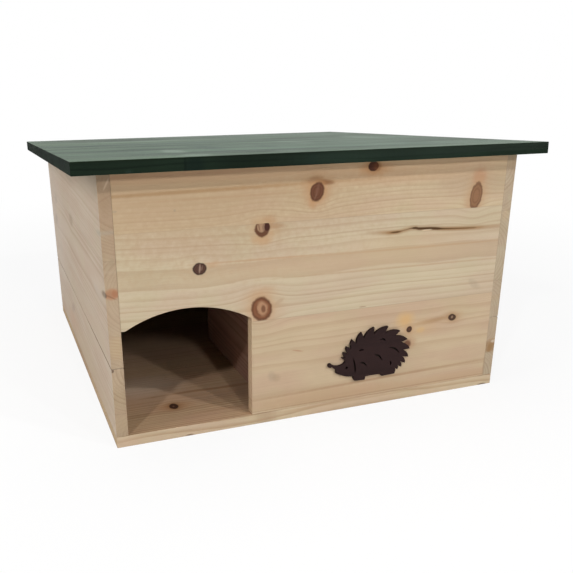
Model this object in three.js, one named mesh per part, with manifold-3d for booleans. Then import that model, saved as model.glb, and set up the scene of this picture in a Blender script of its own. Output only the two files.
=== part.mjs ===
// A wooden hedgehog house with a hinged sloping roof, an arched doorway at its lower left and a
// dividing wall inside, so that an animal walks in, round the wall's far end and into the chamber.
// Millimetres. X runs to the right along the front, Y to the back and Z up.
// The origin is on the ground, under the middle of the whole house with its roof.

import * as THREE from "three";
import { mergeVertices } from "three/addons/utils/BufferGeometryUtils.js";
import Module from "manifold-3d";

const wasm = await Module();
wasm.setup();

// Body: outside sizes without the roof
const bodyWidth = 450;
const bodyDepth = 466;
const frontHeight = 271; // top of the walls at the front face
const roofSlopeDegrees = 3.5; // the roof falls to the back

// Boards
const wallThickness = 12; // left and right walls
const panelThickness = 12; // front and back panels
const dividerThickness = 12;
const floorThickness = 12;
const lowerBoardHeight = 73.5;
const arris = 0.8; // small chamfers along the joint in the side walls
const boardGap = 0.3; // between boards that touch, and under the roof

// Doorway, cut out of the front panel beside the left wall
const doorwayWidth = 132;
const doorwaySpring = 108.3; // from the floor to the arch's right end
const doorwayRise = 18.8; // from the arch's right end to its crown
const doorwayShoulder = 2.4; // how much higher the arch's left end stops, short of the wall
const archSteps = 36;

// Dividing wall
const corridorWidth = 155;
const dividerLength = 225;

// Roof
const roofThickness = 12;
const sideOverhang = 23.5;
const frontOverhang = 20;
const backOverhang = 45;

// Hinges under the back overhang
const hingeInset = 95; // from a side wall's outer face to the middle of a hinge
const leafLength = 40;
const leafWidth = 19; // from the pin's axis to the free edge
const leafThickness = 1.2;
const leafCornerRadius = 2;
const pinRadius = 1.4;
const pinClearance = 0.3;
const pinHeadRadius = 2.2;
const pinHeadLength = 1;
const knuckleCount = 5;
const knuckleGap = 0.35;
const leafHoleSpacing = 24;
const leafHoleShare = 0.62; // of the leaf's width, out from the pin

// Fasteners
const screwClearance = 0.3;
const screwPointShare = 1.6; // length of a screw's point, in shank radii
const hingeScrewHeadRadius = 2.6;
const hingeScrewShankRadius = 1.4;
const hingeScrewCover = 3; // wood left beyond a hinge screw's point
const floorScrewHeadRadius = 3.4;
const floorScrewShankRadius = 1.7;
const floorScrewLength = 30;
const floorScrewRecess = 0.6; // heads lie below the floor panel's underside
const bradLength = 30;
const bradRadius = 0.8;
const bradHeadRadius = 1.3;
const bradHeadLength = 0.8;
const bradCover = 1.2; // filled wood over a brad's head

// Hedgehog figure on the front panel
const figureLength = 100; // from the middle of the nose to the tail
const figureHeight = 62;
const figureThickness = 3;
const figureFromLeft = 232.4; // nose, from the left wall's outer face
const figureFromGround = 33.2; // feet
const noseRadius = 2.4;
const eyeRadius = 1.5;
const slitWidth = 2.2;

// Shared cutting values
const overrun = 5; // how far a cut runs past what it cuts
const roundSteps = 12;
const knuckleSteps = 24;
const figureSteps = 5; // in each short curve of the figure

// Worked-out places, with y counted from the front face
const slope = THREE.MathUtils.degToRad(roofSlopeDegrees);
const halfWidth = bodyWidth / 2;
const innerLeft = -halfWidth + wallThickness;
const jambX = innerLeft + doorwayWidth;
const springZ = floorThickness + doorwaySpring;
const jointZ = floorThickness + lowerBoardHeight;
const dividerX = innerLeft + corridorWidth;
const knuckleRadius = pinRadius + pinClearance + leafThickness;
const frontFaceY = (frontOverhang - bodyDepth - backOverhang) / 2;

// Materials
function plain(color, roughness, metalness) {
  return new THREE.MeshStandardMaterial({ color, roughness, metalness, flatShading: true });
}

const frontWood = plain(0xcdb089, 0.75, 0);
const sideWood = plain(0xc2ad90, 0.78, 0);
const innerWood = plain(0xb99f7d, 0.8, 0);
const greenWood = plain(0x2a4237, 0.7, 0);
const darkPlate = plain(0x392a28, 0.6, 0);
const zincSteel = plain(0xa9abad, 0.4, 1);
const screwSteel = plain(0xb9a15a, 0.35, 1);

// Solids: only joined and cut here, from shapes that three.js makes
function toSolid(geometry) {
  const bare = geometry.clone();
  bare.deleteAttribute("normal");
  bare.deleteAttribute("uv");
  const merged = mergeVertices(bare);
  const corners = [];
  for (let i = 0; i < merged.index.count; i += 3) {
    const [a, b, c] = [0, 1, 2].map((k) => merged.index.getX(i + k));
    if (a !== b && b !== c && c !== a) corners.push(a, b, c);
  }
  return new wasm.Manifold(
    new wasm.Mesh({
      numProp: 3,
      vertProperties: merged.attributes.position.array,
      triVerts: new Uint32Array(corners),
    })
  );
}

function toGeometry(solid) {
  const mesh = solid.getMesh();
  const geometry = new THREE.BufferGeometry();
  geometry.setAttribute("position", new THREE.BufferAttribute(mesh.vertProperties, 3));
  geometry.setIndex(new THREE.BufferAttribute(mesh.triVerts, 1));
  geometry.computeVertexNormals();
  return geometry;
}

function joined(solids) {
  return solids.reduce((sum, solid) => sum.add(solid));
}

function block([x0, y0, z0], [x1, y1, z1]) {
  const geometry = new THREE.BoxGeometry(x1 - x0, y1 - y0, z1 - z0);
  return geometry.translate((x0 + x1) / 2, (y0 + y1) / 2, (z0 + z1) / 2);
}

// An outline drawn in X and Z, as thick as depth, from y0 towards the back
function slab(shape, y0, depth, curveSegments) {
  const geometry = new THREE.ExtrudeGeometry(shape, { depth, bevelEnabled: false, curveSegments });
  return geometry.rotateX(Math.PI / 2).translate(0, y0 + depth, 0);
}

function outline(points) {
  return new THREE.Shape(points.map(([x, z]) => new THREE.Vector2(x, z)));
}

// A turned solid from [radius, height] pairs along Z
function turned(profile, steps) {
  const points = profile.map(([radius, height]) => new THREE.Vector2(radius, height));
  return new THREE.LatheGeometry(points, steps).rotateX(Math.PI / 2);
}

function piece(name, solid, material, parent) {
  const mesh = new THREE.Mesh(toGeometry(solid), material);
  mesh.name = name;
  parent.add(mesh);
  return mesh;
}

// The house stands on the ground, and the roof group lies in the sloping plane of the walls' tops
const house = new THREE.Group();
house.position.y = frontFaceY;
const roof = new THREE.Group();
roof.position.z = frontHeight;
roof.rotation.x = -slope;
roof.updateMatrix();
house.add(roof);

function topOfWallsAt(y) {
  return frontHeight - y * Math.tan(slope);
}

// Everything above the plane of the walls' tops is cut off a board
function underRoof(geometry) {
  const reach = bodyWidth + bodyDepth;
  const above = block([-reach, -reach, 0], [reach, reach, reach]).applyMatrix4(roof.matrix);
  return toSolid(geometry).subtract(toSolid(above));
}

// Countersunk screw along Z with its head's face at zero and its point below. The cutter for its
// hole is the same shape with a clearance, open past the head.
function screwProfile(headRadius, shankRadius, length, clearance) {
  const point = shankRadius * screwPointShare;
  const profile = [
    [0, -length - clearance],
    [shankRadius + clearance, point - length - clearance],
    [shankRadius + clearance, shankRadius - headRadius],
    [headRadius + clearance, 0],
  ];
  if (clearance > 0) profile.push([headRadius + clearance, overrun]);
  profile.push([0, profile.at(-1)[1]]);
  return profile;
}

function screw(headRadius, shankRadius, length, clearance = 0) {
  return turned(screwProfile(headRadius, shankRadius, length, clearance), roundSteps);
}

function hingeScrew(woodThickness, clearance) {
  const length = leafThickness + woodThickness - hingeScrewCover;
  return screw(hingeScrewHeadRadius, hingeScrewShankRadius, length, clearance);
}

function floorScrew(clearance) {
  return screw(floorScrewHeadRadius, floorScrewShankRadius, floorScrewLength, clearance);
}

// Brad along Z with its head's face at zero and its point below
function brad(clearance = 0) {
  const point = bradRadius * screwPointShare;
  const profile = [
    [0, -bradLength - clearance],
    [bradRadius + clearance, point - bradLength - clearance],
    [bradRadius + clearance, -bradHeadLength - clearance],
    [bradHeadRadius + clearance, -bradHeadLength - clearance],
    [bradHeadRadius + clearance, clearance],
    [0, clearance],
  ];
  return turned(profile, roundSteps);
}

// A fastener's place is a frame whose Z points out of the wood
function frame(x, y, z, turnX, turnY, parent) {
  const group = new THREE.Group();
  group.position.set(x, y, z);
  group.rotation.set(turnX, turnY, 0);
  group.updateMatrix();
  parent.add(group);
  return group;
}

// Floor screws come up through the floor panel into the lower edges of the boards on it
const floorScrewShares = [0.14, 0.86];

function floorScrewPlaces() {
  const along = (start, end) => floorScrewShares.map((share) => start + (end - start) * share);
  const wallX = halfWidth - wallThickness / 2;
  const dividerStart = panelThickness + boardGap;
  const places = [];
  along(0, bodyDepth).forEach((y, i) => places.push([`floor_screw_left_${i + 1}`, -wallX, y]));
  along(0, bodyDepth).forEach((y, i) => places.push([`floor_screw_right_${i + 1}`, wallX, y]));
  along(jambX, -innerLeft).forEach((x, i) => {
    places.push([`floor_screw_front_${i + 1}`, x, panelThickness / 2]);
  });
  along(innerLeft, -innerLeft).forEach((x, i) => {
    places.push([`floor_screw_back_${i + 1}`, x, bodyDepth - panelThickness / 2]);
  });
  along(dividerStart, dividerStart + dividerLength).forEach((y, i) => {
    places.push([`floor_screw_divider_${i + 1}`, dividerX + dividerThickness / 2, y]);
  });
  return places;
}

const floorScrews = floorScrewPlaces().map(([name, x, y]) => {
  return { name, frame: frame(x, y, floorScrewRecess, Math.PI, 0, house) };
});

// Brads go through the side walls into the ends of the front and back panels. The doorway leaves
// nothing behind the lower left board at the front, so there is none there.
const upperBradShares = [0.27, 0.65];

function bradPlaces() {
  const places = [];
  for (const [sideName, side] of [["left", -1], ["right", 1]]) {
    for (const [endName, y] of [["front", panelThickness / 2], ["back", bodyDepth - panelThickness / 2]]) {
      const stretch = topOfWallsAt(y) - springZ;
      const heights = upperBradShares.map((share) => springZ + stretch * share);
      if (sideName === "right" || endName === "back") heights.unshift((floorThickness + jointZ) / 2);
      heights.forEach((z, i) => places.push([`brad_${sideName}_${endName}_${i + 1}`, side, y, z]));
    }
  }
  return places;
}

const brads = bradPlaces().map(([name, side, y, z]) => {
  return { name, frame: frame(side * (halfWidth - bradCover), y, z, 0, (side * Math.PI) / 2, house) };
});

// Hinges: the pin lies in the corner between the back panel and the roof's underside. A leaf's own
// frame has the pin along X, the leaf hanging down, and its back face on the side named by face.
const pinY = bodyDepth + boardGap + knuckleRadius;
const pinAlongRoof = (pinY + knuckleRadius * Math.sin(slope)) / Math.cos(slope);
const pinZ = frontHeight - pinAlongRoof * Math.sin(slope) - knuckleRadius * Math.cos(slope);
const leafHoleZ = -leafWidth * leafHoleShare;
const wallFace = -1;
const roofFace = 1;

const hinges = [["left", hingeInset - halfWidth], ["right", halfWidth - hingeInset]].map(([name, x]) => {
  return {
    name,
    wallLeaf: frame(x, pinY, pinZ, 0, 0, house),
    roofLeaf: frame(x, pinAlongRoof, -knuckleRadius, Math.PI / 2, 0, roof),
  };
});

function alongX(radius, length) {
  const cylinder = new THREE.CylinderGeometry(radius, radius, length, knuckleSteps);
  return toSolid(cylinder.rotateZ(Math.PI / 2));
}

function leafPlate(face) {
  const half = leafLength / 2;
  const shape = new THREE.Shape();
  shape.moveTo(half, 0);
  shape.lineTo(-half, 0);
  shape.lineTo(-half, leafCornerRadius - leafWidth);
  shape.absarc(leafCornerRadius - half, leafCornerRadius - leafWidth, leafCornerRadius, Math.PI, 1.5 * Math.PI);
  shape.absarc(half - leafCornerRadius, leafCornerRadius - leafWidth, leafCornerRadius, 1.5 * Math.PI, 2 * Math.PI);
  return slab(shape, face < 0 ? -knuckleRadius : knuckleRadius - leafThickness, leafThickness, roundSteps / 4);
}

// Each hole's frame in the leaf, with Z pointing out of the leaf's front face
function leafHoles(face, parent) {
  const y = face * (knuckleRadius - leafThickness);
  return [-leafHoleSpacing / 2, leafHoleSpacing / 2].map((x) => {
    return frame(x, y, leafHoleZ, (face * Math.PI) / 2, 0, parent);
  });
}

// The leaf with its rolled knuckles, cut away where the other leaf's knuckles turn
function hingeLeaf(face, firstKnuckle, holes, woodThickness) {
  const width = (leafLength - knuckleGap * (knuckleCount - 1)) / knuckleCount;
  const room = knuckleRadius + knuckleGap;
  let leaf = toSolid(leafPlate(face)).add(alongX(knuckleRadius, leafLength));
  leaf = leaf.subtract(alongX(pinRadius + pinClearance, leafLength + overrun));
  for (let k = 1 - firstKnuckle; k < knuckleCount; k += 2) {
    const start = -leafLength / 2 + k * (width + knuckleGap);
    const slot = block([start - knuckleGap, -room, -room], [start + width + knuckleGap, room, room]);
    leaf = leaf.subtract(toSolid(slot));
  }
  for (const hole of holes) {
    leaf = leaf.subtract(toSolid(hingeScrew(woodThickness, screwClearance).applyMatrix4(hole.matrix)));
  }
  return leaf;
}

function hingePin() {
  const half = leafLength / 2 + knuckleGap;
  const profile = [
    [0, -half - pinHeadLength],
    [pinRadius, -half - pinHeadLength],
    [pinHeadRadius, -half],
    [pinRadius, -half],
    [pinRadius, half],
    [pinHeadRadius, half],
    [pinRadius, half + pinHeadLength],
    [0, half + pinHeadLength],
  ];
  return toSolid(turned(profile, knuckleSteps).rotateY(Math.PI / 2));
}

for (const hinge of hinges) {
  hinge.wallHoles = leafHoles(wallFace, hinge.wallLeaf);
  hinge.roofHoles = leafHoles(roofFace, hinge.roofLeaf);
}

// Holes in the wood, from the fasteners' own shapes
function holesOf(places, cutter) {
  return joined(places.map((place) => toSolid(cutter().applyMatrix4(place))));
}

function holePlaces(leafName, holesName) {
  return hinges.flatMap((hinge) => {
    return hinge[holesName].map((hole) => hinge[leafName].matrix.clone().multiply(hole.matrix));
  });
}

const bodyHoles = joined([
  holesOf(floorScrews.map((item) => item.frame.matrix), () => floorScrew(screwClearance)),
  holesOf(brads.map((item) => item.frame.matrix), () => brad(screwClearance)),
  holesOf(holePlaces("wallLeaf", "wallHoles"), () => hingeScrew(panelThickness, screwClearance)),
]);
const roofHoles = holesOf(holePlaces("roofLeaf", "roofHoles"), () => hingeScrew(roofThickness, screwClearance));

// Floor panel, under everything
function floorPanel() {
  return toSolid(block([-halfWidth, 0, 0], [halfWidth, bodyDepth, floorThickness])).subtract(bodyHoles);
}

// Side walls: two boards each, with a chamfered outer edge along their joint
function lowerSideBoard(side) {
  const outer = side * halfWidth;
  const inner = side * (halfWidth - wallThickness);
  const bottom = floorThickness + boardGap;
  const top = jointZ - boardGap / 2;
  const edge = outer - side * arris;
  const shape = outline([[outer, bottom], [inner, bottom], [inner, top], [edge, top], [outer, top - arris]]);
  return toSolid(slab(shape, 0, bodyDepth)).subtract(bodyHoles);
}

function upperSideBoard(side) {
  const outer = side * halfWidth;
  const inner = side * (halfWidth - wallThickness);
  const bottom = jointZ + boardGap / 2;
  const top = frontHeight + overrun;
  const edge = outer - side * arris;
  const shape = outline([[edge, bottom], [inner, bottom], [inner, top], [outer, top], [outer, bottom + arris]]);
  return underRoof(slab(shape, 0, bodyDepth)).subtract(bodyHoles);
}

// Front and back panels, between the side walls and flush with their ends
function endPanel(y0) {
  const right = -innerLeft - boardGap;
  const board = block([-right, y0, floorThickness + boardGap], [right, y0 + panelThickness, frontHeight + overrun]);
  return underRoof(board).subtract(bodyHoles);
}

// The doorway's opening reaches the left wall. Its top is part of a circle, with a short level
// shoulder beside the wall.
function doorway() {
  const half = doorwayWidth / 2;
  const radius = (half * half + doorwayRise * doorwayRise) / (2 * doorwayRise);
  const centreX = innerLeft + half;
  const centreZ = springZ + doorwayRise - radius;
  const start = Math.atan2(springZ - centreZ, half);
  const shoulderZ = springZ + doorwayShoulder;
  const end = Math.PI - Math.asin((shoulderZ - centreZ) / radius);
  const shape = new THREE.Shape();
  shape.moveTo(innerLeft - overrun, floorThickness - overrun);
  shape.lineTo(jambX, floorThickness - overrun);
  shape.lineTo(jambX, springZ);
  shape.absarc(centreX, centreZ, radius, start, end);
  shape.lineTo(innerLeft - overrun, shoulderZ);
  return toSolid(slab(shape, -overrun, panelThickness + 2 * overrun, archSteps));
}

// Dividing wall behind the front panel, a little to the right of the doorway
function divider() {
  const start = panelThickness + boardGap;
  const low = [dividerX, start, floorThickness + boardGap];
  const high = [dividerX + dividerThickness, start + dividerLength, frontHeight + overrun];
  return underRoof(block(low, high)).subtract(bodyHoles);
}

// Roof panel, in the plane of the walls' tops. Its lowest front corner and its highest back corner
// are where the overhangs are measured.
function roofPanel() {
  const top = boardGap + roofThickness;
  const half = halfWidth + sideOverhang;
  const front = -(frontOverhang + boardGap * Math.sin(slope)) / Math.cos(slope);
  const back = (bodyDepth + backOverhang - top * Math.sin(slope)) / Math.cos(slope);
  return toSolid(block([-half, front, boardGap], [half, back, top])).subtract(roofHoles);
}

// Hedgehog figure: a flat cut-out. Its points are shares of its length and its height, counted
// from the nose and from the feet. Spines stand round part of an oval, short on the forehead,
// long on the back and short again towards the tail, and each leans back.
const ovalCentreShares = [0.596, 0.389];
const ovalRadiusShares = [0.462, 0.625];
const spineCount = 14;
const browDegrees = 175; // where the forehead meets the first spine
const firstSpineDegrees = 171;
const lastSpineDegrees = -41;
const spineCrowdingShare = 0.47; // how much closer the spines stand at both ends
const spineUndercutDegrees = 3; // how far the hollow behind a spine reaches under it
const leastSpineDepthShare = 0.09;
const extraSpineDepthShare = 0.12;
const rumpDropShare = 0.3; // how far the last spine lies inside the oval

function figurePoint([x, z]) {
  return new THREE.Vector2(x * figureLength, z * figureHeight);
}

function ovalPoint(degrees, share) {
  const angle = THREE.MathUtils.degToRad(degrees);
  const x = ovalCentreShares[0] + ovalRadiusShares[0] * share * Math.cos(angle);
  const z = ovalCentreShares[1] + ovalRadiusShares[1] * share * Math.sin(angle);
  return figurePoint([x, z]);
}

function spineAngle(t) {
  const crowded = t - (spineCrowdingShare * Math.sin(2 * Math.PI * t)) / (2 * Math.PI);
  return firstSpineDegrees + (lastSpineDegrees - firstSpineDegrees) * crowded;
}

function drawSpines(shape) {
  let valleyAngle = browDegrees;
  for (let i = 0; i < spineCount; i += 1) {
    const t = i / (spineCount - 1);
    const angle = spineAngle(t);
    const reach = 1 - rumpDropShare * t * t;
    const growth = Math.sin(Math.PI * t);
    const bulge = ovalPoint((valleyAngle + angle) / 2, reach);
    const tip = ovalPoint(angle, reach);
    valleyAngle = angle + spineUndercutDegrees * growth;
    const valley = ovalPoint(valleyAngle, reach - leastSpineDepthShare - extraSpineDepthShare * growth);
    shape.quadraticCurveTo(bulge.x, bulge.y, tip.x, tip.y);
    shape.lineTo(valley.x, valley.y);
  }
}

// Straight where only "to" is given, and curved towards "bend" where both are
const underneathShares = [
  { to: [0.82, 0.1] }, // rear foot: heel, sole and toe
  { to: [0.808, 0.028] },
  { to: [0.66, 0.02] },
  { bend: [0.63, 0.02], to: [0.635, 0.06] },
  { bend: [0.55, 0.075], to: [0.44, 0.063] }, // belly
  { to: [0.43, 0] }, // front foot
  { to: [0.306, 0.008] },
  { to: [0.29, 0.05] },
  { to: [0.294, 0.1] },
  { bend: [0.2, 0.105], to: [0.113, 0.178] }, // cheek
  { to: [0.072, 0.213] }, // mouth
  { to: [0.075, 0.27] },
];
const snoutTopShares = [
  { bend: [0.06, 0.33], to: [0.125, 0.347] },
  { bend: [0.17, 0.36], to: [0.18, 0.4] },
];
const noseHeightShare = 0.37;

function drawThrough(shape, steps) {
  for (const { bend, to } of steps) {
    const end = figurePoint(to).toArray();
    if (bend) shape.quadraticCurveTo(...figurePoint(bend).toArray(), ...end);
    else shape.lineTo(...end);
  }
}

function figureOutline() {
  const nose = figurePoint([0, noseHeightShare]);
  const start = ovalPoint(browDegrees, 1 - leastSpineDepthShare);
  const shape = new THREE.Shape();
  shape.moveTo(start.x, start.y);
  drawSpines(shape);
  drawThrough(shape, underneathShares);
  shape.absarc(nose.x, nose.y, noseRadius, -Math.PI / 4, Math.PI / 6, true);
  drawThrough(shape, snoutTopShares);
  return shape;
}

// A slit is a thin crescent from one end to the other, bent towards its middle point
const slitShares = [
  { from: [0.272, 0.47], middle: [0.312, 0.29], to: [0.309, 0.14] },
  { from: [0.335, 0.565], middle: [0.37, 0.6], to: [0.41, 0.575] },
  { from: [0.59, 0.72], middle: [0.64, 0.77], to: [0.675, 0.68] },
  { from: [0.715, 0.555], middle: [0.79, 0.56], to: [0.858, 0.415] },
  { from: [0.53, 0.46], middle: [0.595, 0.46], to: [0.645, 0.32] },
  { from: [0.36, 0.335], middle: [0.4, 0.37], to: [0.455, 0.255] },
  { from: [0.745, 0.3], middle: [0.757, 0.25], to: [0.75, 0.2] },
];
const eyeShares = [0.2, 0.285];

function slitPath({ from, middle, to }) {
  const [start, bend, end] = [from, middle, to].map(figurePoint);
  const across = new THREE.Vector2(start.y - end.y, end.x - start.x).setLength(slitWidth);
  const path = new THREE.Path();
  path.moveTo(start.x, start.y);
  path.quadraticCurveTo(bend.x - across.x, bend.y - across.y, end.x, end.y);
  path.quadraticCurveTo(bend.x + across.x, bend.y + across.y, start.x, start.y);
  return path;
}

function figure() {
  const shape = figureOutline();
  const eye = figurePoint(eyeShares);
  shape.holes.push(...slitShares.map(slitPath));
  shape.holes.push(new THREE.Path().absarc(eye.x, eye.y, eyeRadius, 0, 2 * Math.PI));
  const plate = slab(shape, -boardGap - figureThickness, figureThickness, figureSteps);
  return toSolid(plate.translate(figureFromLeft - halfWidth, 0, figureFromGround));
}

// Assembly
piece("floor_panel", floorPanel(), innerWood, house);
piece("front_panel", endPanel(0).subtract(doorway()), frontWood, house);
piece("back_panel", endPanel(bodyDepth - panelThickness), frontWood, house);
piece("lower_left_board", lowerSideBoard(-1), sideWood, house);
piece("upper_left_board", upperSideBoard(-1), sideWood, house);
piece("lower_right_board", lowerSideBoard(1), sideWood, house);
piece("upper_right_board", upperSideBoard(1), sideWood, house);
piece("dividing_wall", divider(), innerWood, house);
piece("hedgehog_figure", figure(), darkPlate, house);
piece("roof_panel", roofPanel(), greenWood, roof);

for (const { name, frame: place } of floorScrews) {
  piece(name, toSolid(floorScrew(0)), screwSteel, place);
}
for (const { name, frame: place } of brads) {
  piece(name, toSolid(brad()), zincSteel, place);
}
for (const hinge of hinges) {
  const wallLeaf = hingeLeaf(wallFace, 0, hinge.wallHoles, panelThickness);
  const roofLeaf = hingeLeaf(roofFace, 1, hinge.roofHoles, roofThickness);
  piece(`hinge_${hinge.name}_wall_leaf`, wallLeaf, zincSteel, hinge.wallLeaf);
  piece(`hinge_${hinge.name}_roof_leaf`, roofLeaf, zincSteel, hinge.roofLeaf);
  piece(`hinge_${hinge.name}_pin`, hingePin(), zincSteel, hinge.wallLeaf);
  hinge.wallHoles.forEach((hole, i) => {
    piece(`wall_screw_${hinge.name}_${i + 1}`, toSolid(hingeScrew(panelThickness, 0)), zincSteel, hole);
  });
  hinge.roofHoles.forEach((hole, i) => {
    piece(`roof_screw_${hinge.name}_${i + 1}`, toSolid(hingeScrew(roofThickness, 0)), zincSteel, hole);
  });
}

const hedgehogHouse = new THREE.Group();
hedgehogHouse.add(house);

export default hedgehogHouse;
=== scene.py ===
"""Looks of the hedgehog house: bevelled boards, wood, stain, metal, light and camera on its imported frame.

Row frame in metres: X to the right along the front, Y to the back, Z up, origin on the ground.
Wood is measured in millimetres along, across and through each board.
"""

import math
from collections import namedtuple
from typing import NamedTuple

import bmesh
import bpy
import numpy as np
from mathutils import Matrix, Vector


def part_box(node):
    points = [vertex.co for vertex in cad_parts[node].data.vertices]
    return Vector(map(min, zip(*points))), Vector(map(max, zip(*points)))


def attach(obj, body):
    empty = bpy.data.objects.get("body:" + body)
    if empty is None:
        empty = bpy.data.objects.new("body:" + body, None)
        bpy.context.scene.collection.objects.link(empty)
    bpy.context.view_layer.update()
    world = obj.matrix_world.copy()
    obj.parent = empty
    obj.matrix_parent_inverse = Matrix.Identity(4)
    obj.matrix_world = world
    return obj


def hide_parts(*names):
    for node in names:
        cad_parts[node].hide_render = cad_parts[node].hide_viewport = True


MM = 0.001

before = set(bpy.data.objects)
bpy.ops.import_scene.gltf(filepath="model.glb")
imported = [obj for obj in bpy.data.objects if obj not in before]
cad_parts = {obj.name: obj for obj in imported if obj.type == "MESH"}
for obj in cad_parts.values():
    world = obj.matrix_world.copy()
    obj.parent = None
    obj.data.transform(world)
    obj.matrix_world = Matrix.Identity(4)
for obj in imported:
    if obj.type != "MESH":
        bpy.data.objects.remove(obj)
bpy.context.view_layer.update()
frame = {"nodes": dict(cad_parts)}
nodes = frame["nodes"]

LEFT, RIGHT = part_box("lower_left_board")[0].x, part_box("lower_right_board")[1].x
FRONT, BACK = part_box("floor_panel")[0].y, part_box("floor_panel")[1].y
SLOPE = math.radians(3.5)


# Shader nodes

# The sockets of a mix node for the share and the two colours, and for what comes out
MIX_INPUTS, MIX_OUTPUT = (0, 6, 7), 2


class Net:
    """The nodes of one material, world or node group."""

    def __init__(self, owner):
        if isinstance(owner, bpy.types.NodeTree):
            self.tree = owner
        else:
            owner.use_nodes = True
            self.tree = owner.node_tree
        self.tree.nodes.clear()

    def add(self, kind, *values, **settings):
        """A new node with its settings and values for its first sockets."""
        node = self.tree.nodes.new(kind)
        for name, value in settings.items():
            setattr(node, name, value)
        for socket, value in zip(node.inputs, values):
            self.put(socket, value)
        return node

    def put(self, socket, value):
        if isinstance(value, bpy.types.NodeSocket):
            self.tree.links.new(value, socket)
        elif hasattr(socket.default_value, "__len__") and len(socket.default_value) == 4:
            socket.default_value = (*value[:3], 1)
        else:
            socket.default_value = value

    def math(self, operation, *values):
        return self.add("ShaderNodeMath", *values, operation=operation).outputs[0]

    def times(self, first, second):
        return self.math("MULTIPLY", first, second)

    def linear(self, value, slope, start):
        return self.math("MULTIPLY_ADD", value, slope, start)

    def gap(self, first, second):
        return self.math("ABSOLUTE", self.math("SUBTRACT", first, second))

    def vector(self, operation, *values):
        node = self.add("ShaderNodeVectorMath", *values, operation=operation)
        return node.outputs["Value" if operation in ("DOT_PRODUCT", "LENGTH") else "Vector"]

    def scale(self, colour, factor):
        node = self.add("ShaderNodeVectorMath", operation="SCALE")
        self.put(node.inputs[0], colour)
        self.put(node.inputs["Scale"], factor)
        return node.outputs["Vector"]

    def combine(self, x, y=0.0, z=0.0):
        return self.add("ShaderNodeCombineXYZ", x, y, z).outputs[0]

    def noise(self, place, detail=2.0, roughness=0.5):
        node = self.add("ShaderNodeTexNoise")
        self.put(node.inputs["Vector"], place)
        for name, value in (("Scale", 1.0), ("Detail", detail), ("Roughness", roughness)):
            node.inputs[name].default_value = value
        return node.outputs["Fac"]

    def swing(self, place, size, **settings):
        """Noise about zero, mostly within plus and minus size."""
        return self.linear(self.noise(place, **settings), 4 * size, -2 * size)

    def ramp(self, value, low, high, to_low=0.0, to_high=1.0, smooth=True):
        kind = "SMOOTHSTEP" if smooth else "LINEAR"
        values = value, low, high, to_low, to_high
        return self.add("ShaderNodeMapRange", *values, interpolation_type=kind).outputs[0]

    def mix(self, share, first, second):
        node = self.add("ShaderNodeMix", data_type="RGBA", clamp_factor=True)
        for index, value in zip(MIX_INPUTS, (share, first, second)):
            self.put(node.inputs[index], value)
        return node.outputs[MIX_OUTPUT]

    def place(self):
        return self.add("ShaderNodeTexCoord").outputs["Object"]

    def normal(self):
        return self.add("ShaderNodeTexCoord").outputs["Normal"]


def surface(net, colour, roughness, height, depth, specular=0.5, metallic=0.0):
    """Ends a material in one shader, with bumps of the given depth."""
    shader, bump = net.add("ShaderNodeBsdfPrincipled"), net.add("ShaderNodeBump")
    net.put(bump.inputs["Distance"], depth)
    net.put(bump.inputs["Height"], height)
    for name, value in (
        ("Base Color", colour), ("Roughness", roughness), ("Specular IOR Level", specular),
        ("Metallic", metallic), ("Normal", bump.outputs[0]),
    ):
        net.put(shader.inputs[name], value)
    net.add("ShaderNodeOutputMaterial", shader.outputs[0])


# Wood

# Farther than any board reaches, in millimetres
FAR = 1e4
# How soft the edge of a knot's face is, by which knots are known among the spots
KNOT_SOFT = 0.17
# Millimetres through a board before which only its outer face lies, and after which only its inner face
NEAR_FACE, INNER_FACE = 1.0, 11.9
# Length along the grain and width across it of each kind of unevenness, in millimetres
WARP, STREAK, FIBRE, BLOTCH, CLOUD, PORE = (90, 16), (110, 1.3), (9, 0.22), (130, 26), (60, 40), (30, 0.5)
WIPE = (300, 60)
# Millimetres over which the heart of a tree sways, ring widths change and the edge of a stain wanders
SWAY_LENGTH, RING_CHANGE, RAGGED_LENGTH = 200, 17, 4.5
# Between these cosines a face passes from a long face to a sawn end
TURNED = 0.6, 0.8
# What is added to the number of a stave for the next one
NUMBER_STEP = 7.3
# How far grain is pushed aside by a swirl, as a share of its half length and height
SWIRL_LENGTH, SWIRL_HEIGHT = 2.4, 1.9

X, Y, Z = Vector((1, 0, 0)), Vector((0, 1, 0)), Vector((0, 0, 1))
ROOF_BACK = Vector((0, math.cos(SLOPE), -math.sin(SLOPE)))
ROOF_UP = Vector((0, math.sin(SLOPE), math.cos(SLOPE)))


class Board(NamedTuple):
    """Where a board's millimetres are counted from, and its ways along, across and through."""

    corner: tuple
    along: Vector
    across: Vector
    through: Vector


class Stave(NamedTuple):
    """One glued strip of a board up to a place across it, with the heart of its tree and its rings."""

    top: float
    pith_across: float
    pith_through: float
    spacing: float = 3.5
    tint: tuple = (1, 1, 1)
    grain: float = 1.0


class Spot(NamedTuple):
    """A painted ellipse or ring: a knot's part, a stain, a mark, painted shade or painted light. Its tint is in
    thousandths.
    """

    along: float
    across: float
    half_length: float
    half_height: float
    tint: tuple
    amount: float = 0.5
    soft: float = 0.6
    turn: float = 0.0
    inner: float = -1.0
    low: float = -FAR
    high: float = FAR
    ragged: float = 0.12


class Swirl(NamedTuple):
    """A place that the grain flows round."""

    along: float
    across: float
    half_length: float
    half_height: float
    strength: float = 0.8


class Tone(NamedTuple):
    """Colours and contrasts of a kind of wood."""

    pale: tuple
    late: tuple
    pink: tuple
    yellow: tuple
    contrast: float = 0.5
    end: tuple = (0.72, 0.66, 0.6)
    roughness: float = 0.68
    specular: float = 0.25
    sway: float = 3.0
    end_rings: float = 0.09
    # inside tints the faces past INNER_FACE: on the walls and floor, painted shade inside the house
    inside: tuple = (0.92, 0.84, 0.78)


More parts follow.
